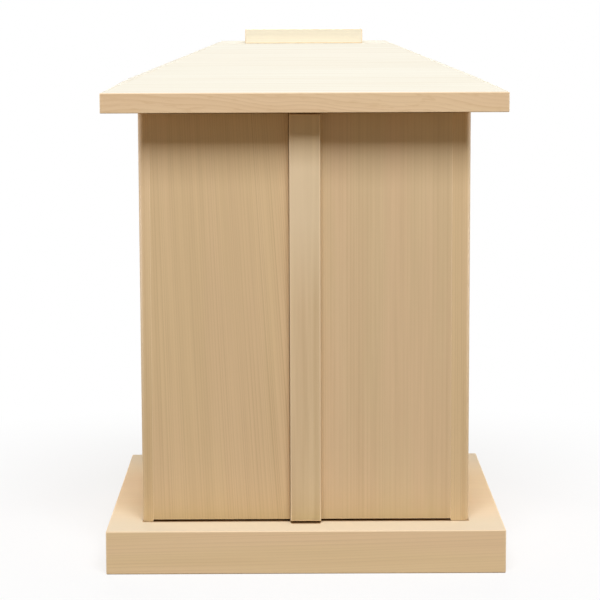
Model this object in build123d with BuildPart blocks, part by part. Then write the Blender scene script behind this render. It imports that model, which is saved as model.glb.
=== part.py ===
from build123d import *
import os
from math import atan2, sin

os.makedirs("parts", exist_ok=True)

# Plain wood shrine cabinet: a slab base, walls of two upright boards with a batten over their joint,
# a pair of doors that turn on wooden pins, an eave board, and a mitred hip roof with a flat cap.
# Millimetres. +Z is up, X is the width, the doors face -Y, and the origin is under the base's middle.

# Body, measured over its walls and doors
body_width = 331.0
body_depth = 296.0
body_height = 416.5
wall_thickness = 15.0
corner_round = 7.0

# Base slab, with its margins around the body
base_height = 44.0
base_side_margin = 34.5
base_front_margin = 41.0
base_arris = 0.8

# Battens that cover the joint between two wall boards
batten_width = 31.0
batten_proud = 13.0
batten_arris = 0.8

# Floor board and the head rail that the doors close against
floor_thickness = 12.0
rail_depth = 15.0
rail_height = 24.0
inner_fit = 0.2

# Doors: a hinge stile with a half-round edge, a panel, and a strip on the right-hand door
door_thickness = 15.0
door_gap_below = 2.6
door_gap_above = 2.6
door_gap_behind = 0.6
left_stile_width = 11.0
right_stile_width = 18.5
strip_width = 31.0
strip_proud = 10.0
strip_arris = 0.8
meeting_gap = 0.5
panel_arris = 0.2

# Heel of each stile, and the pins that turn in the base and in the eave board
heel_clearance = 0.3
heel_round = 1.8
pin_radius = 3.0
pin_length = 10.0
pin_clearance = 0.3
pin_arris = 0.6

# Eave board, with its overhangs past the body
eave_thickness = 19.7
eave_side_overhang = 34.0
eave_front_overhang = 41.0
eave_arris = 0.6

# Roof boards, set back from the eave board's edge, and the cap over their open top
roof_setback = 1.0
roof_run = 110.0
roof_rise = 44.5
roof_board = 12.0
cap_lap = 3.8
cap_thickness = 14.5
cap_arris = 0.6

# Heights
base_top = base_height
eave_bottom = base_top + body_height
eave_top = eave_bottom + eave_thickness
landing_top = eave_top + roof_rise
door_bottom = base_top + door_gap_below
door_top = eave_bottom - door_gap_above
heel_bottom = base_top + heel_clearance

# Places in plan
body_side = body_width / 2
body_front = -body_depth / 2
body_back = body_depth / 2
inner_side = body_side - wall_thickness
inner_back = body_back - wall_thickness
door_back = body_front + door_thickness
wall_front = door_back + door_gap_behind
pivot_x = body_side - door_thickness / 2
pivot_y = body_front + door_thickness / 2
pivots = [(-pivot_x, pivot_y), (pivot_x, pivot_y)]
socket_radius = pin_radius + pin_clearance
socket_depth = pin_length + pin_clearance

# Roof in plan: the boards' outer edge, and how far a board's level cut reaches inwards
eave_width = body_width + 2 * eave_side_overhang
eave_depth = body_depth + 2 * eave_front_overhang
roof_side = eave_width / 2 - roof_setback
roof_back = eave_depth / 2 - roof_setback
board_cut = roof_board / sin(atan2(roof_rise, roof_run))
board_reach = roof_run + board_cut


def keep(piece, name):
    """Label a finished piece and write it to its own file."""
    piece.part.label = name
    export_step(piece.part, f"parts/{name}.step")


def wall_board(x_low, x_high, y_low, y_high):
    """An upright board that stands on the base and carries the eave board."""
    with BuildPart() as board:
        with BuildSketch(Plane.XY.offset(base_top)):
            with Locations(((x_low + x_high) / 2, (y_low + y_high) / 2)):
                Rectangle(x_high - x_low, y_high - y_low)
        extrude(amount=body_height)
    return board


def wall_batten(outward, across, distance):
    """A batten with eased long edges on the outer face of a wall, over the joint of its boards."""
    middle = outward * distance + Vector(0, 0, base_top + body_height / 2)
    with BuildPart() as batten:
        with BuildSketch(Plane(origin=middle, x_dir=across, z_dir=outward)):
            Rectangle(batten_width, body_height)
        extrude(amount=batten_proud)
        outer_face = batten.faces().sort_by(Axis((0, 0, 0), outward))[-1]
        chamfer(outer_face.edges().filter_by(Axis.Z), batten_arris)
    return batten


def door_stile(side, width):
    """A hinge stile: half-round outer edge, a heel that stands on the base, and a pin at each end."""
    pivot = (side * pivot_x, pivot_y)
    flat_width = width - door_thickness / 2
    with BuildPart() as stile:
        with BuildSketch(Plane.XY.offset(heel_bottom)):
            with Locations(pivot):
                Circle(door_thickness / 2)
            with Locations((side * (pivot_x - flat_width / 2), pivot_y)):
                Rectangle(flat_width, door_thickness)
            with Locations((side * (body_side - width / 2), pivot_y)):
                Rectangle(width, door_thickness, mode=Mode.INTERSECT)
        extrude(amount=door_top - heel_bottom)
        heel_edge = stile.edges().filter_by(Axis.Y).sort_by(Axis.Z)[0]
        fillet(heel_edge, heel_round)
        with BuildSketch(Plane.XY.offset(base_top - pin_length)):
            with Locations(pivot):
                Circle(pin_radius)
        extrude(amount=pin_length + heel_clearance)
        chamfer(stile.faces().sort_by(Axis.Z)[0].edges(), pin_arris)
        with BuildSketch(Plane.XY.offset(door_top)):
            with Locations(pivot):
                Circle(pin_radius)
        extrude(amount=door_gap_above + pin_length)
        chamfer(stile.faces().sort_by(Axis.Z)[-1].edges(), pin_arris)
    return stile


def slope_board(section_plane, half_span, half_length, plan_outline):
    """A roof board between two level cuts, mitred along its hips to the outline given in plan."""
    with BuildPart() as board:
        with BuildSketch(section_plane):
            with BuildLine():
                Polyline(
                    (half_span, eave_top),
                    (half_span - board_cut, eave_top),
                    (half_span - board_reach, landing_top),
                    (half_span - roof_run, landing_top),
                    close=True,
                )
            make_face()
        extrude(amount=half_length, both=True)
        with BuildSketch(Plane.XY.offset(eave_top)):
            with BuildLine():
                Polyline(*plan_outline, close=True)
            make_face()
        extrude(amount=roof_rise, mode=Mode.INTERSECT)
    return board


# Base slab, with a blind socket for each door's lower pin
with BuildPart() as base_slab:
    with BuildSketch():
        Rectangle(body_width + 2 * base_side_margin, body_depth + 2 * base_front_margin)
    extrude(amount=base_height)
    chamfer(base_slab.edges(), base_arris)
    with BuildSketch(Plane.XY.offset(base_top)):
        with Locations(*pivots):
            Circle(socket_radius)
    extrude(amount=-socket_depth, mode=Mode.SUBTRACT)
keep(base_slab, "base_slab")

# Side walls: a front and a rear board that meet at mid depth, and the batten over the joint
for side_name, side in (("left", -1), ("right", 1)):
    x_low, x_high = sorted((side * inner_side, side * body_side))
    keep(wall_board(x_low, x_high, wall_front, 0), f"{side_name}_wall_front_board")
    keep(wall_board(x_low, x_high, 0, inner_back), f"{side_name}_wall_rear_board")
    keep(wall_batten(Vector(side, 0, 0), Vector(0, 1, 0), body_side), f"{side_name}_wall_batten")

# Back wall: two boards over the ends of the side walls, with rounded outer corners, and a batten
with BuildPart() as back_right_board:
    with BuildSketch(Plane.XY.offset(base_top)):
        with Locations((body_side / 2, body_back - wall_thickness / 2)):
            Rectangle(body_side, wall_thickness)
    extrude(amount=body_height)
    fillet(back_right_board.edges().filter_by(Axis.Z).group_by(Axis.Y)[-1].sort_by(Axis.X)[-1], corner_round)
keep(back_right_board, "back_wall_right_board")

with BuildPart() as back_left_board:
    mirror(back_right_board.part, about=Plane.YZ)
keep(back_left_board, "back_wall_left_board")
keep(wall_batten(Vector(0, 1, 0), Vector(1, 0, 0), body_back), "back_wall_batten")

# Floor board, whose front edge stops the doors at the bottom
with BuildPart() as floor_board:
    with BuildSketch(Plane.XY.offset(base_top)):
        with Locations((0, (wall_front + inner_back - inner_fit) / 2)):
            Rectangle(2 * (inner_side - inner_fit), inner_back - inner_fit - wall_front)
    extrude(amount=floor_thickness)
keep(floor_board, "floor_board")

# Head rail under the eave board, which stops the doors at the top
with BuildPart() as head_rail:
    with BuildSketch(Plane.XY.offset(eave_bottom)):
        with Locations((0, wall_front + rail_depth / 2)):
            Rectangle(2 * (inner_side - inner_fit), rail_depth)
    extrude(amount=-rail_height)
keep(head_rail, "head_rail")

# Hinge stiles of the doors
keep(door_stile(-1, left_stile_width), "left_door_stile")
keep(door_stile(1, right_stile_width), "right_door_stile")

# Left door panel, from its stile to the meeting gap at the strip's left edge
left_panel_outer = -(body_side - left_stile_width)
left_panel_free = -(strip_width / 2 + meeting_gap)
with BuildPart() as left_door_panel:
    with BuildSketch(Plane.XY.offset(door_bottom)):
        with Locations(((left_panel_outer + left_panel_free) / 2, pivot_y)):
            Rectangle(left_panel_free - left_panel_outer, door_thickness)
    extrude(amount=door_top - door_bottom)
    chamfer(left_door_panel.edges().filter_by(Axis.Z).group_by(Axis.X)[-1], panel_arris)
keep(left_door_panel, "left_door_panel")

# Right door panel, which runs behind the strip up to the meeting gap
right_panel_outer = body_side - right_stile_width
right_panel_free = -strip_width / 2
with BuildPart() as right_door_panel:
    with BuildSketch(Plane.XY.offset(door_bottom)):
        with Locations(((right_panel_outer + right_panel_free) / 2, pivot_y)):
            Rectangle(right_panel_outer - right_panel_free, door_thickness)
    extrude(amount=door_top - door_bottom)
keep(right_door_panel, "right_door_panel")

# Centre strip on the face of the right-hand door
with BuildPart() as door_strip:
    with BuildSketch(Plane.XY.offset(door_bottom)):
        with Locations((0, body_front - strip_proud / 2)):
            Rectangle(strip_width, strip_proud)
    extrude(amount=door_top - door_bottom)
    chamfer(door_strip.faces().sort_by(Axis.Y)[0].edges(), strip_arris)
keep(door_strip, "door_strip")

# Eave board, with a blind socket for each door's upper pin
with BuildPart() as eave_board:
    with BuildSketch(Plane.XY.offset(eave_bottom)):
        Rectangle(eave_width, eave_depth)
    extrude(amount=eave_thickness)
    chamfer(eave_board.edges(), eave_arris)
    with BuildSketch(Plane.XY.offset(eave_bottom)):
        with Locations(*pivots):
            Circle(socket_radius)
    extrude(amount=socket_depth, mode=Mode.SUBTRACT)
keep(eave_board, "eave_board")

# Hip roof of four boards with equal pitch, so that the mitres run at 45 degrees in plan
side_plan = [
    (roof_side, -roof_back),
    (roof_side, roof_back),
    (roof_side - board_reach, roof_back - board_reach),
    (roof_side - board_reach, board_reach - roof_back),
]
back_plan = [
    (-roof_side, roof_back),
    (roof_side, roof_back),
    (roof_side - board_reach, roof_back - board_reach),
    (board_reach - roof_side, roof_back - board_reach),
]
right_roof_board = slope_board(Plane.XZ, roof_side, roof_back, side_plan)
back_roof_board = slope_board(Plane.YZ, roof_back, roof_side, back_plan)
with BuildPart() as left_roof_board:
    mirror(right_roof_board.part, about=Plane.YZ)
with BuildPart() as front_roof_board:
    mirror(back_roof_board.part, about=Plane.XZ)
keep(right_roof_board, "right_roof_board")
keep(left_roof_board, "left_roof_board")
keep(back_roof_board, "back_roof_board")
keep(front_roof_board, "front_roof_board")

# Cap that closes the roof's open top and laps onto the boards' level cuts
with BuildPart() as roof_cap:
    with BuildSketch(Plane.XY.offset(landing_top)):
        Rectangle(2 * (roof_side - board_reach + cap_lap), 2 * (roof_back - board_reach + cap_lap))
    extrude(amount=cap_thickness)
    chamfer(roof_cap.edges(), cap_arris)
keep(roof_cap, "roof_cap")
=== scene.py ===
import logging
import math
from dataclasses import dataclass
from enum import Enum
from typing import Any, Iterable, Optional, Union

import bmesh
import bpy
from mathutils import Matrix, Vector


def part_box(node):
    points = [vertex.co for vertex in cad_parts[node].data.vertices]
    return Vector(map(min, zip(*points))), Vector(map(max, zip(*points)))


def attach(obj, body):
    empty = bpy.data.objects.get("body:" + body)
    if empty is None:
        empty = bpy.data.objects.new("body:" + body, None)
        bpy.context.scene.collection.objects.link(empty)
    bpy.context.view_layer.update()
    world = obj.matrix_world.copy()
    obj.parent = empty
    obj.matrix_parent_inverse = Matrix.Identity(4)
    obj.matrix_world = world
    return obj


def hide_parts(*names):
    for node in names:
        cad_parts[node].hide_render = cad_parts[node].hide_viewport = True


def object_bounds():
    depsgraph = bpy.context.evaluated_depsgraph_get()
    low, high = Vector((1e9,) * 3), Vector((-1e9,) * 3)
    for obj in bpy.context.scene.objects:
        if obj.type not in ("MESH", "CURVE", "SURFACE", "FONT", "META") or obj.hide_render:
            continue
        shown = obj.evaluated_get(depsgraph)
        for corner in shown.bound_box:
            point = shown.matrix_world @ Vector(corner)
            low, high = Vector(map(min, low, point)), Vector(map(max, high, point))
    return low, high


# Plain wood shrine cabinet: every board of the frame gets eased arrises and a finish cut from its own log.
# Metres, in the frame's own axes: +Z up, and the doors face -Y.

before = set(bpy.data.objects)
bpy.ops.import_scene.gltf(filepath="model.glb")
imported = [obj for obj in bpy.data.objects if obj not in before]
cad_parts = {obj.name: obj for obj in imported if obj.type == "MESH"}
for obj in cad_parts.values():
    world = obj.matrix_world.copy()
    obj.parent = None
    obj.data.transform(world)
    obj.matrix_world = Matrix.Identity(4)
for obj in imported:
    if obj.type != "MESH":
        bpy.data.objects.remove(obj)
cad_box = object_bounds()

log = logging.getLogger("shrine_cabinet")

Colour = tuple[float, float, float]
Number = Union[int, float]

MILLIMETRE = 0.001
WHITE: Colour = (1.0, 1.0, 1.0)

# Places in the frame: the base's top, the outer faces of walls and doors, and the strip's edge and front.
SLAB_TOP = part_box("base_slab")[1].z
WALLS_HALF = (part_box("right_wall_front_board")[1].x, -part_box("left_door_panel")[0].y)
STRIP_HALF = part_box("door_strip")[1].x
STRIP_PROUD = -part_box("door_strip")[0].y - WALLS_HALF[1]

# A board's mesh: the colour attribute that marks its cuts, the widest chamfer, how near points are merged,
# the largest bend that still counts as flat, and the least part of a normal, along an axis or upwards, by
# which a face counts as square, level or rising.
CUT_MARK = "cut"
CHAMFER = 1.3 * MILLIMETRE
WELD = 0.01 * MILLIMETRE
FLAT_BEND = math.radians(0.5)
SQUARE = 0.8
LEVEL = 0.9
RISING = 0.3

# Growth rings: how they stray, how their spacing varies, and how dark and unbroken each year's line is.
NOISE_MIDDLE = 0.5
STRAY_WAVES = 11.0
SPACING_WAVES = 70.0
SPACING_DETAIL = 1.5
SPACING_SHIFT = 4.0
FAINTEST_YEAR = 0.3
RING_PROFILE = [(0.0, 0.0), (0.45, 0.06), (0.76, 0.55), (0.90, 1.0), (1.0, 0.0)]
BREAK_GAIN = 2.4
BREAK_LOSS = 0.2

# The surface: how strongly bands and fibres show, what makes it duller or glossier, and its relief.
BAND_SHARE = 0.16
FIBRE_SHARE = 0.30
FIBRE_DULLNESS = 0.16
RING_POLISH = 0.08
TOP_DULLNESS = 0.35
FIBRE_RELIEF = 0.6
RING_RELIEF = 0.4
RELIEF_STRENGTH = 0.30
RELIEF_DEPTH = 0.12 * MILLIMETRE

# What multiplies the colour of end grain, the painted shade on a top under the walls, and the painted shade
# of a foot; how strongly end grain and the arrises' wear and painted highlight show; and how steeply, in a
# metre, the painted shade under the walls ends.
END_GRAIN_TINT: Colour = (0.86, 0.78, 0.68)
PAINTED_SHADE_TINT: Colour = (0.58, 0.49, 0.40)
FOOT_SHADE_TINT: Colour = (0.68, 0.68, 0.55)
END_GRAIN_SHARE = 0.75
WORN_HIGHLIGHT_SHARE = 0.85
EDGE_SLOPE = 900.0

# How far up the painted shade of a foot reaches and the curve of its fading, and the heights between which
# an upright board's upper part gets painted light.
FOOT_REACH = 60 * MILLIMETRE
FOOT_CURVE = 3.0
CROWN_START = 265 * MILLIMETRE
CROWN_REACH = 85 * MILLIMETRE
CROWN_END = 405 * MILLIMETRE
CROWN_FADE = 35 * MILLIMETRE


class Grain(Enum):
    """The axis that a board's fibres run along, as an index into X, Y and Z."""

    WIDTH = 0
    DEPTH = 1
    HEIGHT = 2


def from_srgb(red: int, green: int, blue: int) -> Colour:
    """Turns a colour of the display into the linear values that shaders take.

    Args:
        red: Red, 0 to 255.
        green: Green, 0 to 255.
        blue: Blue, 0 to 255.

    Returns:
        The three linear values.
    """
    def linear(level: int) -> float:
        """One channel, by the display's own curve."""
        share = level / 255
        return share / 12.92 if share <= 0.04045 else ((share + 0.055) / 1.055) ** 2.4

    return linear(red), linear(green), linear(blue)


def opaque(colour: Colour) -> tuple[float, float, float, float]:
    """The colour with full alpha, as a colour socket takes it."""
    return (*colour, 1.0)


def add_piece(name: str, shape: bmesh.types.BMesh, material: bpy.types.Material) -> bpy.types.Object:
    """Turns a finished shape into an object of the scene, and frees the shape.

    Args:
        name: The name of the object and of its mesh.
        shape: The shape.
        material: Its finish.

    Returns:
        The object.
    """
    mesh = bpy.data.meshes.new(name)
    shape.to_mesh(mesh)
    shape.free()
    mesh.materials.append(material)
    piece = bpy.data.objects.new(name, mesh)
    bpy.context.scene.collection.objects.link(piece)
    return piece


class Sock:
    """A shader socket that takes part in Python arithmetic, one Math node for each step."""

    def __init__(self, sheet: "NodeSheet", socket: Optional[bpy.types.NodeSocket]) -> None:
        """Keeps the sheet that new nodes go on, and the socket, which is None after a tree's last node."""
        self.sheet = sheet
        self.socket = socket

    def __add__(self, other: "Sock | Number") -> "Sock":
        """self + other."""
        return self.sheet.maths("ADD", self, other)

    def __radd__(self, other: Number) -> "Sock":
        """other + self."""
        return self.sheet.maths("ADD", other, self)

    def __sub__(self, other: "Sock | Number") -> "Sock":
        """self - other."""
        return self.sheet.maths("SUBTRACT", self, other)

    def __rsub__(self, other: Number) -> "Sock":
        """other - self."""
        return self.sheet.maths("SUBTRACT", other, self)

    def __mul__(self, other: "Sock | Number") -> "Sock":
        """self * other."""
        return self.sheet.maths("MULTIPLY", self, other)

    def __rmul__(self, other: Number) -> "Sock":
        """other * self."""
        return self.sheet.maths("MULTIPLY", other, self)

    def __truediv__(self, other: "Sock | Number") -> "Sock":
        """self / other."""
        return self.sheet.maths("DIVIDE", self, other)

    def __rtruediv__(self, other: Number) -> "Sock":
        """other / self."""
        return self.sheet.maths("DIVIDE", other, self)

    def __pow__(self, other: "Sock | Number") -> "Sock":
        """self ** other."""
        return self.sheet.maths("POWER", self, other)

    def __rpow__(self, other: Number) -> "Sock":
        """other ** self."""
        return self.sheet.maths("POWER", other, self)

    def __abs__(self) -> "Sock":
        """abs(self)."""
        return self.sheet.maths("ABSOLUTE", self)

    def clamped(self) -> "Sock":
        """The value held between 0 and 1."""
        return self.sheet.node("ShaderNodeClamp", inputs={"Value": self})

    def fraction(self) -> "Sock":
        """What is left of the value after its whole number."""
        return self.sheet.maths("FRACT", self)

    def whole(self) -> "Sock":
        """The whole number below the value."""
        return self.sheet.maths("FLOOR", self)


class NodeSheet:
    """A node tree that is filled by one method, and by the arithmetic of its sockets."""

    def __init__(self, tree: bpy.types.NodeTree) -> None:
        """Empties the tree.

        Args:
            tree: The tree of a material or of the world.
        """
        self.tree = tree
        self.tree.nodes.clear()

    def node(self, kind: str, settings: Optional[dict[str, Any]] = None,
             inputs: Optional[dict[Union[str, int], Any]] = None, out: Union[str, int] = 0) -> Sock:
        """Adds one node.

        Args:
            kind: The node's type.
            settings: Its properties; "stops" is a list of (place, grey level) for a ramp.
            inputs: Values or sockets for its inputs, by name or index.
            out: The output that is returned, by name or index.

        Returns:
            The chosen output.
        """
        made = self.tree.nodes.new(kind)
        for key, value in (settings or {}).items():
            if key == "stops":
                self._set_stops(made.color_ramp, value)
            else:
                setattr(made, key, value)
        for key, value in (inputs or {}).items():
            if isinstance(value, Sock):
                self.tree.links.new(value.socket, made.inputs[key])
            else:
                made.inputs[key].default_value = value
        return Sock(self, made.outputs[out] if made.outputs else None)

    @staticmethod
    def _set_stops(ramp: bpy.types.ColorRamp, stops: list[tuple[float, Number]]) -> None:
        """Gives a ramp its stops.

        Args:
            ramp: The ramp of a new node.
            stops: The stops, each a place and a grey level.
        """
        while len(ramp.elements) < len(stops):
            ramp.elements.new(1.0)
        for element, (place, level) in zip(ramp.elements, stops):
            element.position = place
            element.color = opaque((level, level, level))

    def maths(self, operation: str, first: Union[Sock, Number],
              second: Optional[Union[Sock, Number]] = None) -> Sock:
        """Adds one Math node.

        Args:
            operation: The name of the step.
            first: The first value.
            second: The second value, where the step takes one.

        Returns:
            The result.
        """
        inputs = {0: first} if second is None else {0: first, 1: second}
        return self.node("ShaderNodeMath", {"operation": operation}, inputs)

    def mix(self, factor: Union[Sock, Number], first: Union[Sock, Colour], second: Union[Sock, Colour],
            blend: str = "MIX") -> Sock:
        """Mixes two colours.

        Args:
            factor: How far the result lies towards the second colour.
            first: The first colour, or a socket.
            second: The second colour, or a socket.
            blend: The name of the blend.

        Returns:
            The mixed colour.
        """
        sides = [side if isinstance(side, Sock) else opaque(side) for side in (first, second)]
        settings = {"data_type": "RGBA", "blend_type": blend, "clamp_factor": True}
        return self.node("ShaderNodeMix", settings, {0: factor, 6: sides[0], 7: sides[1]}, out=2)

    def stained(self, colour: Sock, tint: Colour) -> Sock:
        """The colour multiplied by a tint."""
        return self.mix(1.0, colour, tint, "MULTIPLY")

    def noise(self, place: Sock, waves: float, detail: float, roughness: float = 0.5) -> Sock:
        """Smooth noise around 0.5 at a place.

        Args:
            place: A vector.
            waves: Waves in a metre.
            detail: Octaves of finer waves.
            roughness: Strength of each finer octave.

        Returns:
            The noise's value.
        """
        inputs = {"Vector": place, "Scale": waves, "Detail": detail, "Roughness": roughness}
        return self.node("ShaderNodeTexNoise", {"noise_dimensions": "3D"}, inputs)

    def axes(self) -> list[Sock]:
        """The X, Y and Z of a place on the object."""
        place = self.node("ShaderNodeTexCoord", out="Object")
        return [self.node("ShaderNodeSeparateXYZ", inputs={0: place}, out=index) for index in range(3)]


@dataclass(frozen=True)
class Figure:
    """One layer of the wood's figure: noise that is drawn out along the fibres.

    Attributes:
        length: How much of the way along the fibres the noise follows; less draws it out further.
        waves: Waves in a metre across the fibres.
        detail: Octaves of finer waves.
        roughness: Strength of each finer octave.
        start: The noise's value above which the layer shows.
        gain: How fast it comes in above that.
    """

    length: float
    waves: float
    detail: float = 2.0
    roughness: float = 0.5
    start: float = 0.0
    gain: float = 1.0

    def shown(self, noise: Sock) -> Sock:
        """How strongly the layer shows where its noise has this value, 0 to 1."""
        return ((noise - self.start) * self.gain).clamped()


FIBRES = Figure(length=0.012, waves=1500.0, detail=3.0, roughness=0.6, start=0.50, gain=1.6)
STREAKS = Figure(length=0.03, waves=130.0, roughness=0.65, start=0.42, gain=3.0)
BANDS = Figure(length=0.06, waves=44.0, start=0.45, gain=2.4)
PATCHES = Figure(length=0.10, waves=30.0, detail=1.0, start=0.42, gain=5.0)
FLECKS = Figure(length=0.16, waves=420.0, detail=1.0, start=0.60, gain=8.0)
RING_BREAKS = Figure(length=0.14, waves=26.0)


@dataclass(frozen=True)
class LogPlace:
    """A place in the log that a board was cut from.

    Attributes:
        sheet: The board's node sheet.
        first: The place on the first axis across the fibres.
        second: The place on the second axis across the fibres.
        along: The place along the fibres.
        seed: The log's own place in the noise.
    """

    sheet: NodeSheet
    first: Sock
    second: Sock
    along: Sock
    seed: float

    def noise(self, figure: Figure) -> Sock:
        """Draws the noise of one layer.

        Args:
            figure: The layer.

        Returns:
            The noise's value.
        """
        parts = {0: self.first, 1: self.second, 2: self.along * figure.length + self.seed}
        place = self.sheet.node("ShaderNodeCombineXYZ", inputs=parts)
        return self.sheet.noise(place, figure.waves, figure.detail, figure.roughness)

    def layer(self, figure: Figure) -> Sock:
        """How strongly one layer shows, 0 to 1."""
        return figure.shown(self.noise(figure))


@dataclass(frozen=True)
class Cuts:
    """What a board's mesh marks: eased arrises, end grain and faces that look up, each 0 or 1."""

    worn_and_highlit: Sock
    end_grain: Sock
    top: Sock


@dataclass(frozen=True)
class Timber:
    """The finish of one planed board: where it was cut from its log, and how it is coloured.

    Attributes:
        name: The material's name.
        grain: The axis that the fibres run along.
        pith: The log's middle, on the two axes across the fibres.
        ring: The width of one year's growth.
        wander: How far the rings stray from round.
        wave: How much of the way along the fibres this straying follows.
        slope: How far the fibres lean on each axis across, for each metre along.
        fan: How much the first lean grows, for each metre across.
        pale: The tone of early wood.
        late: The tone of late wood, bands, streaks and fibres.
        rose: The tone of the warmer patches.
        worn_highlight: The tone of eased arrises: their wear and painted highlight.
        painted_light_tone: The paler tone of painted light on tops and crowns.
        top_painted_light: How far the top gets painted light at its front and back.
        side_painted_light: How far the top gets painted light halfway between them.
        painted_light_start: How far from the middle the painted light at the front and back begins.
        painted_light_reach: The distance over which it comes in.
        painted_crown_light: How far the upper part of an upright board gets painted light.
        painted_foot_shade: How far the foot of an upright board gets painted shade.
        gloss: The specular level.
        dullness: The roughness before fibres and rings change it.
        ring_depth: How dark the rings are where the first axis is 0.
        ring_lean: How much darker they get, for each metre on that axis.
        rose_share: How strongly the warmer patches show.
        streaks: How strongly the streaks show.
        flecks: How strongly the flecks show.
        seed: The log's own place in the noise.
    """

    name: str
    grain: Grain
    pith: tuple[float, float]
    ring: float = 2.2 * MILLIMETRE
    wander: float = 3.0 * MILLIMETRE
    wave: float = 0.10
    slope: tuple[float, float] = (0.0, 0.0)
    fan: float = 0.0
    pale: Colour = from_srgb(226, 196, 151)
    late: Colour = from_srgb(192, 161, 119)
    rose: Colour = from_srgb(226, 192, 153)
    worn_highlight: Colour = from_srgb(247, 221, 183)
    painted_light_tone: Colour = from_srgb(238, 222, 194)
    top_painted_light: float = 0.0
    side_painted_light: float = 0.0
    painted_light_start: float = 0.06
    painted_light_reach: float = 0.10
    painted_crown_light: float = 0.0
    painted_foot_shade: float = 0.0
    gloss: float = 0.44
    dullness: float = 0.44
    ring_depth: float = 0.6
    ring_lean: float = 0.0
    rose_share: float = 0.6
    streaks: float = 0.22
    flecks: float = 0.0
    seed: float = 0.0

    def log_place(self, sheet: NodeSheet, axes: list[Sock]) -> LogPlace:
        """Turns a place in the cabinet to the log's own axes, with the lean of the fibres.

        Args:
            sheet: The board's node sheet.
            axes: The place's X, Y and Z.

        Returns:
            The place in the log.
        """
        across = list(axes)
        along = across.pop(self.grain.value)
        first = across[0] + along * (across[0] * self.fan + self.slope[0])
        second = across[1] + along * self.slope[1]
        return LogPlace(sheet, first, second, along, self.seed)

    def late_wood(self, place: LogPlace) -> Sock:
        """Draws the growth rings around the pith.

        Args:
            place: The place in the log.

        Returns:
            How much late wood lies there, 0 to 1.
        """
        sheet = place.sheet
        stray = place.noise(Figure(self.wave, STRAY_WAVES)) - NOISE_MIDDLE
        square = (place.first - self.pith[0]) ** 2.0 + (place.second - self.pith[1]) ** 2.0
        radius = square ** 0.5 + stray * self.wander
        spacing = sheet.node("ShaderNodeCombineXYZ", inputs={0: radius, 1: self.seed})
        phase = radius / self.ring + sheet.noise(spacing, SPACING_WAVES, SPACING_DETAIL) * SPACING_SHIFT
        year = sheet.node("ShaderNodeTexWhiteNoise", {"noise_dimensions": "1D"},
                          {"W": phase.whole() + self.seed}, out="Value")
        line = sheet.node("ShaderNodeValToRGB", {"stops": RING_PROFILE}, {0: phase.fraction()})
        darkness = year * (1.0 - FAINTEST_YEAR) + FAINTEST_YEAR
        unbroken = place.noise(RING_BREAKS) * BREAK_GAIN - BREAK_LOSS
        return (line * darkness * unbroken).clamped()

    def new_wood(self, place: LogPlace, late_wood: Sock, fibre: Sock) -> Sock:
        """Colours the wood as it was when freshly planed.

        Args:
            place: The place in the log.
            late_wood: How much late wood lies there.
            fibre: The noise of the fibres.

        Returns:
            The colour.
        """
        mix = place.sheet.mix
        colour = mix(place.layer(PATCHES) * self.rose_share, self.pale, self.rose)
        colour = mix(place.layer(BANDS) * BAND_SHARE, colour, self.late)
        colour = mix(place.layer(STREAKS) * self.streaks, colour, self.late)
        depth = place.first * self.ring_lean + self.ring_depth
        colour = mix((late_wood * depth).clamped(), colour, self.late)
        colour = mix(FIBRES.shown(fibre) * FIBRE_SHARE, colour, self.late)
        if self.flecks:
            colour = mix(place.layer(FLECKS) * self.flecks, colour, self.late)
        return colour

    def painted_top_light_and_shade(self, sheet: NodeSheet, axes: list[Sock], colour: Sock) -> Sock:
        """Paints light on the top that the cabinet stands on around it, and paints shade on it under its
        walls and doors.

        Args:
            sheet: The board's node sheet.
            axes: The place's X, Y and Z.
            colour: The wood's colour.

        Returns:
            The top's colour.
        """
        def past(place: Union[Sock, Number], edge: Union[Sock, Number]) -> Sock:
            """1 where the place lies more than about a millimetre past the edge, and 0 short of it."""
            return ((place - edge) * EDGE_SLOPE).clamped()

        strip = past(STRIP_HALF, abs(axes[0])) * STRIP_PROUD
        beside = past(abs(axes[0]), WALLS_HALF[0])
        before = past(abs(axes[1]) - WALLS_HALF[1], strip)
        towards_ends = ((abs(axes[1]) - self.painted_light_start) / self.painted_light_reach).clamped()
        share = towards_ends * (self.top_painted_light - self.side_painted_light) + self.side_painted_light
        # Painted shade on the top under the walls, doors and strip, and painted light on the top around them.
        painted_shade = sheet.stained(colour, PAINTED_SHADE_TINT)
        return sheet.mix((beside + before).clamped(), painted_shade, sheet.mix(share, colour, self.painted_light_tone))

    def with_painted_light_and_shade(self, sheet: NodeSheet, axes: list[Sock], colour: Sock, cuts: Cuts) -> Sock:
        """Colours end grain, paints light on tops and crowns, paints shade under walls and at feet, and pales
        arrises.

        Args:
            sheet: The board's node sheet.
            axes: The place's X, Y and Z.
            colour: The new wood's colour.
            cuts: What the mesh marks there.

        Returns:
            The finished colour.
        """
        colour = sheet.mix(cuts.end_grain * END_GRAIN_SHARE, colour, sheet.stained(colour, END_GRAIN_TINT))
        # Painted light on the top around the cabinet, and painted shade on it under the walls.
        if self.top_painted_light:
            colour = sheet.mix(cuts.top, colour, self.painted_top_light_and_shade(sheet, axes, colour))
        # Painted light on an upright board's upper part, fading out where the eave's shade falls.
        if self.painted_crown_light:
            rise = ((axes[2] - CROWN_START) / CROWN_REACH).clamped()
            shaded = ((axes[2] - CROWN_END) / CROWN_FADE).clamped()
            colour = sheet.mix(rise * (1.0 - shaded) * self.painted_crown_light, colour, self.painted_light_tone)
        # Painted shade at the foot of an upright board.
        if self.painted_foot_shade:
            drop = ((SLAB_TOP + FOOT_REACH - axes[2]) / FOOT_REACH).clamped()
            colour = sheet.mix(drop ** FOOT_CURVE * self.painted_foot_shade, colour, sheet.stained(colour, FOOT_SHADE_TINT))
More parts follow.
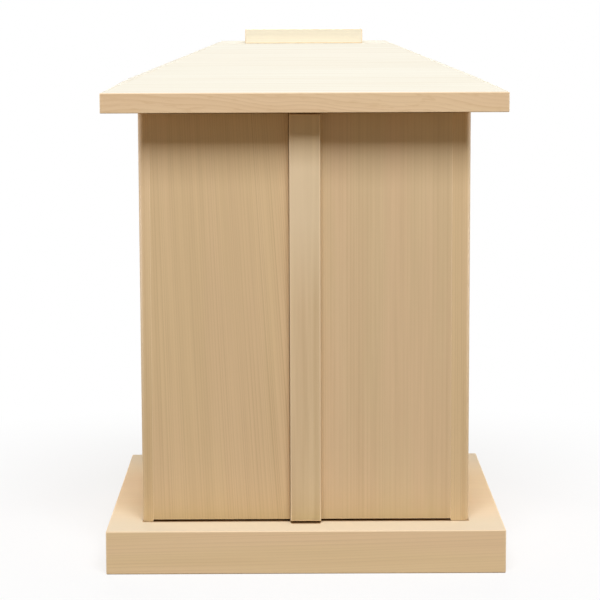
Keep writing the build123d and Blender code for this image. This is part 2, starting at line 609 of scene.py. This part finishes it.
        # Eased arrises are paler: partly wear, partly painted highlight.
        return sheet.mix(cuts.worn_and_highlit * WORN_HIGHLIGHT_SHARE, colour, self.worn_highlight)

    def material(self) -> bpy.types.Material:
        """Builds the finish.

        Returns:
            A material with growth rings, fibres, end grain, painted light and shade, and arrises paler with
            wear and painted highlight.
        """
        material = bpy.data.materials.new(self.name)
        material.use_nodes = True
        sheet = NodeSheet(material.node_tree)
        axes = sheet.axes()
        place = self.log_place(sheet, axes)
        late_wood = self.late_wood(place)
        fibre = place.noise(FIBRES)

        mark = sheet.node("ShaderNodeAttribute", {"attribute_name": CUT_MARK}, out="Color")
        cuts = Cuts(*[sheet.node("ShaderNodeSeparateColor", None, {0: mark}, index) for index in range(3)])
        colour = self.with_painted_light_and_shade(sheet, axes, self.new_wood(place, late_wood, fibre), cuts)

        roughness = fibre * FIBRE_DULLNESS + self.dullness - late_wood * RING_POLISH
        if self.top_painted_light:
            roughness = roughness + cuts.top * TOP_DULLNESS
        height = fibre * FIBRE_RELIEF + late_wood * RING_RELIEF
        relief = sheet.node("ShaderNodeBump", None,
                            {"Strength": RELIEF_STRENGTH, "Distance": RELIEF_DEPTH, "Height": height})
        shader = sheet.node("ShaderNodeBsdfPrincipled", None,
                            {"Base Color": colour, "Roughness": roughness, "Normal": relief,
                             "Specular IOR Level": self.gloss})
        sheet.node("ShaderNodeOutputMaterial", None, {"Surface": shader})
        return material


@dataclass(frozen=True)
class Board:
    """One board of the frame: its node and finish, and how its arrises and outer face are worked.

    Attributes:
        node: The node that it takes the place of.
        timber: Its finish.
        arris: How far its arrises are eased.
        segments: The steps round an eased arris.
        sharp: The least angle of an arris.
        facet: The widest facet of a round face.
        chamfer: The widest chamfer, or 0 where it has none.
        shaving: How its outer face is moved in.
        top_in_shade: Whether its arrises that look up lie in shade, so get no painted highlight and keep the
            colour of the wood.
    """

    node: str
    timber: Timber
    arris: float = 0.35 * MILLIMETRE
    segments: int = 3
    sharp: float = math.radians(25)
    facet: float = 4.0 * MILLIMETRE
    chamfer: float = 0.0
    shaving: tuple[float, float, float] = (0.0, 0.0, 0.0)
    top_in_shade: bool = False

    def shave(self, shape: bmesh.types.BMesh) -> None:
        """Moves the board's outer face, with its chamfers, in by the shaving.

        Args:
            shape: The board's mesh.
        """
        inward = Vector(self.shaving)
        if inward.length:
            heights = {corner: -corner.co.dot(inward.normalized()) for corner in shape.verts}
            outer = [corner for corner, height in heights.items()
                     if height > max(heights.values()) - self.chamfer]
            bmesh.ops.translate(shape, verts=outer, vec=inward)

    def mark_cuts(self, shape: bmesh.types.BMesh, eased: set[bmesh.types.BMFace]) -> None:
        """Marks eased arrises red, for wear and painted highlight, end grain green and tops blue, and shades
        rounded faces smoothly.

        Args:
            shape: The board's mesh.
            eased: The faces of its eased arrises.
        """
        mark = shape.loops.layers.float_color.new(CUT_MARK)
        for face in shape.faces:
            width = face.calc_area() / max(edge.calc_length() for edge in face.edges)
            slanted = max(abs(part) for part in face.normal) < SQUARE
            worn_and_highlit = face in eased or (slanted and width < self.chamfer)
            # Arrises that look up and lie in shade get no painted highlight.
            worn_and_highlit = worn_and_highlit and not (self.top_in_shade and face.normal.z > RISING)
            end_grain = not worn_and_highlit and abs(face.normal[self.timber.grain.value]) > SQUARE
            top = not worn_and_highlit and face.normal.z > LEVEL
            for loop in face.loops:
                loop[mark] = opaque((float(worn_and_highlit), float(end_grain), float(top)))
            bends = [edge for edge in face.edges if FLAT_BEND < edge.calc_face_angle(0.0) < self.sharp]
            face.smooth = face in eased or (len(bends) > 1 and width < self.facet)

    def planed(self, body: str) -> bpy.types.Object:
        """Builds the board with eased arrises in the place of its node.

        Args:
            body: The body that it rides on.

        Returns:
            The new piece.
        """
        shape = bmesh.new()
        shape.from_mesh(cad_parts[self.node].data)
        bmesh.ops.remove_doubles(shape, verts=shape.verts, dist=WELD)
        bmesh.ops.dissolve_limit(shape, angle_limit=FLAT_BEND, verts=shape.verts, edges=shape.edges,
                                 use_dissolve_boundaries=False)
        self.shave(shape)
        corners = [edge for edge in shape.edges if edge.calc_face_angle(0.0) > self.sharp]
        eased = bmesh.ops.bevel(shape, geom=corners, offset=self.arris, offset_type="OFFSET", affect="EDGES",
                                segments=self.segments, profile=0.5, material=-1, clamp_overlap=True)
        self.mark_cuts(shape, set(eased["faces"]))
        piece = add_piece(f"{self.node}_planed", shape, self.timber.material())
        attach(piece, body)
        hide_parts(self.node)
        log.info("%s rides on %s, %d faces", piece.name, body, len(piece.data.polygons))
        return piece


@dataclass
class Base:
    """The slab that everything stands on, and the floor board inside."""

    slab_arris: float = 0.4 * MILLIMETRE
    slab_ring: float = 2.7 * MILLIMETRE
    slab_pale: Colour = from_srgb(242, 213, 168)
    slab_late: Colour = from_srgb(222, 190, 144)
    slab_rose: Colour = from_srgb(243, 209, 170)
    floor_ring: float = 3.0 * MILLIMETRE

    def build(self) -> list[bpy.types.Object]:
        """Builds the slab and the floor board.

        Returns:
            Both pieces.
        """
        # The slab's top gets painted light around the cabinet and painted shade under it.
        slab = Timber("slab_wood", Grain.WIDTH, pith=(-0.30, -0.16), ring=self.slab_ring,
                      wander=10 * MILLIMETRE, slope=(0.0, -0.03), pale=self.slab_pale, late=self.slab_late,
                      rose=self.slab_rose, ring_depth=0.5, top_painted_light=0.85, side_painted_light=0.35, gloss=0.25,
                      seed=1.3)
        floor = Timber("floor_wood", Grain.WIDTH, pith=(0.02, -0.22), ring=self.floor_ring,
                       wander=12 * MILLIMETRE, seed=2.1)
        return [
            Board("base_slab", slab, self.slab_arris, chamfer=CHAMFER).planed("root"),
            Board("floor_board", floor).planed("root"),
        ]


@dataclass
class Walls:
    """The side and back walls: upright boards, the battens over their joints, and the head rail.

    Attributes:
        boards: The upright boards' nodes.
        ring: The first board's width of one year's growth.
        ring_step: How much wider it is in each board after that.
        log_distance: How far the boards' piths lie, front or back of the side walls and beside the back one.
        side_piths: The place across of the first side board's pith, and how far each next one lies from it.
        back_pith: The place, front to back, of the back boards' piths.
        seeds: The first board's seed, and how far each next one lies from it.
        painted_foot_shade: How far the boards' and battens' feet get painted shade.
        batten_proud: How far the battens stand proud of the walls.
        batten_ring: The battens' width of one year's growth.
        batten_pith: The first batten's pith.
        batten_shift: How far each next batten's pith lies from it.
        batten_seed: The first batten's seed.
        batten_pale_painted_light: The battens' tone, paler than the walls': painted light for the bright rim
            at the outline.
    """

    boards: tuple[str, ...] = ("left_wall_front_board", "left_wall_rear_board", "right_wall_front_board",
                               "right_wall_rear_board", "back_wall_left_board", "back_wall_right_board")
    ring: float = 2.2 * MILLIMETRE
    ring_step: float = 0.1 * MILLIMETRE
    log_distance: float = 0.42
    side_piths: tuple[float, float] = (-0.05, 0.03)
    back_pith: float = 0.1
    seeds: tuple[float, float] = (3.0, 1.7)
    painted_foot_shade: float = 0.6
    batten_proud: float = 9.0 * MILLIMETRE
    batten_ring: float = 3.2 * MILLIMETRE
    batten_pith: tuple[float, float] = (0.5, 0.4)
    batten_shift: float = 0.1
    batten_seed: float = 20.0
    batten_pale_painted_light: Colour = from_srgb(231, 205, 166)

    def board_timber(self, number: int, node: str) -> Timber:
        """Chooses the log of one upright board.

        Args:
            number: The board's place among the boards.
            node: The board's node.

        Returns:
            Its finish.
        """
        distance = -self.log_distance if number % 2 else self.log_distance
        pith = (self.side_piths[1] * number + self.side_piths[0], distance)
        if node.startswith("back"):
            pith = (distance, self.back_pith)
        return Timber(f"{node}_wood", Grain.HEIGHT, pith, ring=self.ring + self.ring_step * number,
                      painted_foot_shade=self.painted_foot_shade, seed=self.seeds[0] + self.seeds[1] * number)

    def batten_shavings(self) -> dict[str, tuple[float, float, float]]:
        """Works out what comes off each batten so that it stands as far proud as the photograph allows.

        Returns:
            The move of each batten's outer face.
        """
        low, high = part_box("left_wall_batten")
        side = (high.x - low.x) - self.batten_proud
        low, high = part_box("back_wall_batten")
        rear = (high.y - low.y) - self.batten_proud
        return {"left_wall_batten": (side, 0.0, 0.0), "right_wall_batten": (-side, 0.0, 0.0),
                "back_wall_batten": (0.0, -rear, 0.0)}

    def build(self) -> list[bpy.types.Object]:
        """Builds the boards, battens and rail, each cut from a log of its own.

        Returns:
            The pieces, walls first.
        """
        pieces = []
        for number, node in enumerate(self.boards):
            pieces.append(Board(node, self.board_timber(number, node)).planed("root"))
        for number, (node, shaving) in enumerate(self.batten_shavings().items()):
            pith = (self.batten_pith[0], self.batten_pith[1] - self.batten_shift * number)
            timber = Timber(f"{node}_wood", Grain.HEIGHT, pith, ring=self.batten_ring, ring_depth=0.2,
                            pale=self.batten_pale_painted_light, rose=self.batten_pale_painted_light, painted_foot_shade=self.painted_foot_shade,
                            seed=self.batten_seed + number)
            batten = Board(node, timber, chamfer=CHAMFER, shaving=shaving)
            pieces.append(batten.planed("root"))
        rail = Timber("rail_wood", Grain.WIDTH, pith=(0.3, 0.9), seed=31.0)
        pieces.append(Board("head_rail", rail).planed("root"))
        return pieces


@dataclass
class Doors:
    """The pair of doors: hinge stiles with their pins, panels, and the strip on the right-hand door."""

    left_ring: float = 2.9 * MILLIMETRE
    right_ring: float = 3.6 * MILLIMETRE
    strip_ring: float = 3.5 * MILLIMETRE
    log_distance: float = 0.45
    fine_arris: float = 0.12 * MILLIMETRE
    # How far the feet of the panels, stiles and strip get painted shade.
    panel_painted_foot_shade: float = 0.85
    stile_painted_foot_shade: float = 0.4
    strip_painted_foot_shade: float = 1.0
    right_pale: Colour = from_srgb(223, 195, 153)
    right_rose: Colour = from_srgb(228, 194, 155)
    strip_pale: Colour = from_srgb(227, 200, 158)
    strip_rose: Colour = from_srgb(229, 199, 160)
    # The strip's upper part gets painted light in this tone.
    strip_painted_light_tone: Colour = from_srgb(241, 219, 184)

    def left(self) -> list[bpy.types.Object]:
        """Builds the left door.

        Returns:
            Its panel and stile.
        """
        panel = Timber("left_panel_wood", Grain.HEIGHT, pith=(-self.log_distance, -0.10), ring=self.left_ring,
                       slope=(0.085, 0.0), fan=0.42, ring_depth=0.64, ring_lean=2.2, rose_share=0.35,
                       painted_foot_shade=self.panel_painted_foot_shade, seed=41.0)
        stile = Timber("left_stile_wood", Grain.HEIGHT, pith=(-0.52, 0.05), ring_depth=0.35, streaks=0.1,
                       painted_foot_shade=self.stile_painted_foot_shade, seed=42.0)
        return [
            Board("left_door_panel", panel, self.fine_arris).planed("left_door"),
            Board("left_door_stile", stile, self.fine_arris).planed("left_door"),
        ]

    def right(self) -> list[bpy.types.Object]:
        """Builds the right-hand door.

        Returns:
            Its panel, stile and strip.
        """
        panel = Timber("right_panel_wood", Grain.HEIGHT, pith=(self.log_distance, -0.12),
                       ring=self.right_ring, ring_depth=0.40, ring_lean=-1.2, rose_share=0.5,
                       pale=self.right_pale, rose=self.right_rose, painted_foot_shade=self.panel_painted_foot_shade, seed=43.7)
        stile = Timber("right_stile_wood", Grain.HEIGHT, pith=(0.48, 0.04), ring_depth=0.35, streaks=0.1,
                       rose_share=0.5, painted_foot_shade=self.stile_painted_foot_shade, seed=44.0)
        strip = Timber("strip_wood", Grain.HEIGHT, pith=(0.05, 0.35), ring=self.strip_ring, ring_depth=0.3,
                       pale=self.strip_pale, rose=self.strip_rose, streaks=0.35,
                       painted_light_tone=self.strip_painted_light_tone, painted_crown_light=0.45, painted_foot_shade=self.strip_painted_foot_shade, seed=45.0)
        return [
            Board("right_door_panel", panel).planed("right_door"),
            Board("right_door_stile", stile, self.fine_arris).planed("right_door"),
            Board("door_strip", strip, chamfer=CHAMFER, top_in_shade=True).planed("right_door"),
        ]

    def build(self) -> list[bpy.types.Object]:
        """Builds both doors, each on its own body.

        Returns:
            The five pieces, left door first.
        """
        return self.left() + self.right()


@dataclass
class Roof:
    """The eave board, the four mitred roof boards and the cap."""

    eave_arris: float = 0.3 * MILLIMETRE
    eave_ring: float = 3.8 * MILLIMETRE
    eave_pale: Colour = from_srgb(236, 206, 164)
    eave_late: Colour = from_srgb(212, 176, 130)
    eave_rose: Colour = from_srgb(236, 203, 165)
    slope_boards: tuple[tuple[str, Grain], ...] = (
        ("front_roof_board", Grain.WIDTH), ("back_roof_board", Grain.WIDTH),
        ("left_roof_board", Grain.DEPTH), ("right_roof_board", Grain.DEPTH))
    slope_arris: float = 0.2 * MILLIMETRE
    slope_ring: float = 3.0 * MILLIMETRE
    slope_pith: tuple[float, float] = (0.1, 0.95)
    slope_shift: float = 0.05
    slope_seeds: tuple[float, float] = (60.0, 2.3)
    # The roof boards' and the cap's near-white tones are painted light, for the bright light falling on the
    # roof.
    slope_pale_painted_light: Colour = from_srgb(244, 239, 223)
    slope_rose_painted_light: Colour = from_srgb(244, 237, 220)
    roof_late_painted_light: Colour = from_srgb(231, 220, 197)
    cap_ring: float = 4.0 * MILLIMETRE
    cap_pale_painted_light: Colour = from_srgb(243, 232, 206)

    def build(self) -> list[bpy.types.Object]:
        """Builds the eave board, the roof boards and the cap.

        Returns:
            The six pieces, from the eave up.
        """
        eave = Timber("eave_wood", Grain.WIDTH, pith=(-0.26, 0.36), ring=self.eave_ring,
                      wander=45 * MILLIMETRE, wave=0.45, slope=(0.0, 0.07), pale=self.eave_pale,
                      late=self.eave_late, rose=self.eave_rose, flecks=0.35, seed=51.0)
        pieces = [Board("eave_board", eave, self.eave_arris, chamfer=CHAMFER).planed("root")]
        for number, (node, grain) in enumerate(self.slope_boards):
            pith = (self.slope_pith[0] - self.slope_shift * number, self.slope_pith[1])
            timber = Timber(f"{node}_wood", grain, pith, ring=self.slope_ring, wander=12 * MILLIMETRE,
                            pale=self.slope_pale_painted_light, late=self.roof_late_painted_light, rose=self.slope_rose_painted_light, gloss=0.2,
                            dullness=0.75, seed=self.slope_seeds[0] + self.slope_seeds[1] * number)
            pieces.append(Board(node, timber, self.slope_arris).planed("root"))
        cap = Timber("cap_wood", Grain.WIDTH, pith=(-0.1, 0.35), ring=self.cap_ring, pale=self.cap_pale_painted_light,
                     late=self.roof_late_painted_light, rose=self.cap_pale_painted_light, seed=71.0)
        pieces.append(Board("roof_cap", cap, self.eave_arris, chamfer=CHAMFER).planed("root"))
        return pieces


@dataclass(frozen=True)
class Lamp:
    """One soft rectangular lamp that faces the cabinet's middle.

    Attributes:
        name: Its name.
        offset: Where it hangs, from the cabinet's middle.
        size: Its width and height.
        power: Its watts.
        tint: Its linear colour.
    """

    name: str
    offset: Vector
    size: tuple[float, float]
    power: float
    tint: Colour = WHITE

    def hang(self, middle: Vector) -> bpy.types.Object:
        """Hangs the lamp.

        Args:
            middle: The cabinet's middle.

        Returns:
            The lamp.
        """
        data = bpy.data.lights.new(self.name, "AREA")
        data.shape = "RECTANGLE"
        data.size, data.size_y = self.size
        data.energy = self.power
        data.color = self.tint
        place = middle + self.offset
        lamp = bpy.data.objects.new(self.name, data)
        lamp.location = place
        lamp.rotation_mode = "QUATERNION"
        lamp.rotation_quaternion = (middle - place).to_track_quat("-Z", "Y")
        bpy.context.scene.collection.objects.link(lamp)
        return lamp


@dataclass
class Studio:
    """The floor, the light and the camera.

    Attributes:
        floor_half: Half the floor's width.
        shadow_radius: How far from the middle the floor begins to turn plain white.
        fade_width: The distance over which it does.
        floor_glow: How far the floor is plain white already near the cabinet.
        floor_tone: The floor's colour to the camera.
        bounce_tone: The floor's colour to the light that it throws back.
        world_level: The strength of the world's light.
        world_tint: The colour of the world's light.
        key_reach: How far the key lamp hangs from the middle.
        key_side: How far it hangs to the right, as a share of that.
        key_height: The angle of its height.
        key_size: Its width and height.
        key_power: Its watts.
        key_tint: Its colour.
        overhead_power: The watts of the lamp overhead.
        side_power: The watts of each lamp beside the cabinet.
        back_power: The watts of the lamp behind it.
        eye: The camera's place.
        pitch: How far it looks down.
        turn: How far it is turned to the right.
        roll: How far it is rolled.
        focal_pixels: Its focal length, in pixels of the photograph.
        picture_pixels: The photograph's width.
        sensor_width: The width of its sensor, in millimetres.
        clip: The nearest and furthest that it sees.
    """

    floor_half: float = 6.0
    shadow_radius: float = 0.34
    fade_width: float = 0.42
    floor_glow: float = 0.7
    floor_tone: Colour = (0.94, 0.94, 0.94)
    bounce_tone: Colour = (0.29, 0.235, 0.16)
    world_level: float = 0.18
    world_tint: Colour = (1.05, 0.88, 0.66)
    key_reach: float = 4.2
    key_side: float = 0.04
    key_height: float = math.radians(49.5)
    key_size: tuple[float, float] = (2.9, 1.75)
    key_power: float = 164.0
    key_tint: Colour = (0.962, 1.008, 1.085)
    overhead_power: float = 3.0
    side_power: float = 28.0
    back_power: float = 20.0
    eye: tuple[float, float, float] = (-0.0107, -2.3805, 0.5771)
    pitch: float = math.radians(7.805)
    turn: float = math.radians(0.144)
    roll: float = math.radians(-0.205)
    focal_pixels: float = 2247.6
    picture_pixels: int = 600
    sensor_width: float = 36.0
    clip: tuple[float, float] = (0.05, 50.0)

    def paper(self) -> bpy.types.Material:
        """Builds the floor's finish.

        Returns:
            Pale paper that keeps the shadow near the cabinet, and is plain white further out.
        """
        material = bpy.data.materials.new("floor_paper")
        material.use_nodes = True
        sheet = NodeSheet(material.node_tree)
        place = sheet.node("ShaderNodeTexCoord", out="Object")
        distance = sheet.node("ShaderNodeVectorMath", {"operation": "LENGTH"}, {0: place}, out="Value")
        far = ((distance - self.shadow_radius) / self.fade_width).clamped()
        seen = sheet.node("ShaderNodeLightPath", out="Is Camera Ray")
        paper = sheet.node("ShaderNodeBsdfDiffuse", None, {"Color": opaque(self.floor_tone)})
        bounce = sheet.node("ShaderNodeBsdfDiffuse", None, {"Color": opaque(self.bounce_tone)})
        white = sheet.node("ShaderNodeEmission", None, {"Color": opaque(WHITE), "Strength": 1.0})
        glow = far * (1.0 - self.floor_glow) + self.floor_glow
        shown = sheet.node("ShaderNodeMixShader", None, {0: glow, 1: paper, 2: white})
        mixed = sheet.node("ShaderNodeMixShader", None, {0: seen, 1: bounce, 2: shown})
        sheet.node("ShaderNodeOutputMaterial", None, {"Surface": mixed})
        return material

    def floor(self) -> bpy.types.Object:
        """Lays the floor.

        Returns:
            The floor.
        """
        shape = bmesh.new()
        bmesh.ops.create_grid(shape, x_segments=1, y_segments=1, size=self.floor_half)
        floor = add_piece("floor", shape, self.paper())
        return floor

    def world(self) -> None:
        """A world with a weak, even, warm light, which the camera, gloss and glass see as plain white."""
        world = bpy.data.worlds.new("studio")
        bpy.context.scene.world = world
        world.use_nodes = True
        sheet = NodeSheet(world.node_tree)
        rays = ["Is Camera Ray", "Is Glossy Ray", "Is Transmission Ray"]
        seen = [sheet.node("ShaderNodeLightPath", out=name) for name in rays]
        plain = (seen[0] + seen[1] + seen[2]).clamped()
        white = sheet.node("ShaderNodeBackground", None, {"Color": opaque(WHITE), "Strength": 1.0})
        light = sheet.node("ShaderNodeBackground", None,
                           {"Color": opaque(self.world_tint), "Strength": self.world_level})
        mixed = sheet.node("ShaderNodeMixShader", None, {0: plain, 1: light, 2: white})
        sheet.node("ShaderNodeOutputWorld", None, {"Surface": mixed})

    def lamps(self) -> list[bpy.types.Object]:
        """Hangs a soft key lamp high in front, and weaker ones overhead, beside and behind.

        Returns:
            The lamps.
        """
        low, high = cad_box
        middle = (low + high) / 2
        key_way = Vector((self.key_side, -math.cos(self.key_height), math.sin(self.key_height)))
        plan = [
            Lamp("key", self.key_reach * key_way, self.key_size, self.key_power, self.key_tint),
            Lamp("overhead", offset=Vector((0.0, 0.1, 2.2)), size=(3.0, 3.0), power=self.overhead_power),
            Lamp("left", offset=Vector((-2.4, 0.55, -0.18)), size=(0.7, 0.3), power=self.side_power),
            Lamp("right", offset=Vector((2.4, 0.55, -0.18)), size=(0.7, 0.3), power=self.side_power),
            Lamp("back", offset=Vector((0.0, 2.3, 0.85)), size=(1.7, 0.6), power=self.back_power),
        ]
        return [lamp.hang(middle) for lamp in plan]

    def camera(self) -> bpy.types.Object:
        """Places a camera at the photograph's place, angle and field of view.

        Returns:
            The camera.
        """
        data = bpy.data.cameras.new("camera")
        data.sensor_width = self.sensor_width
        data.lens = self.focal_pixels / self.picture_pixels * self.sensor_width
        data.clip_start, data.clip_end = self.clip
        level = Vector((math.sin(self.turn), math.cos(self.turn), 0.0))
        upright = Vector((0.0, 0.0, 1.0))
        ahead = level * math.cos(self.pitch) - upright * math.sin(self.pitch)
        above = upright * math.cos(self.pitch) + level * math.sin(self.pitch)
        right = ahead.cross(above)
        leaned_right = right * math.cos(self.roll) + above * math.sin(self.roll)
        leaned_above = above * math.cos(self.roll) - right * math.sin(self.roll)
        turned = Matrix((leaned_right, leaned_above, -ahead)).transposed()
        camera = bpy.data.objects.new("camera", data)
        camera.matrix_world = Matrix.Translation(self.eye) @ turned.to_4x4()
        bpy.context.scene.collection.objects.link(camera)
        bpy.context.scene.camera = camera
        return camera

    def build(self) -> None:
        """Sets up the floor, the light, the camera and the plain view."""
        self.floor()
        self.world()
        self.lamps()
        self.camera()
        bpy.context.scene.view_settings.view_transform = "Standard"


def main() -> None:
    """Builds the cabinet from the slab up, and then the studio around it."""
    logging.basicConfig(level=logging.INFO, format="%(message)s")
    for part in (Base(), Walls(), Doors(), Roof()):
        pieces = part.build()
        log.info("%s: %d pieces", type(part).__name__, len(pieces))
    Studio().build()


if __name__ == "__main__":
    main()
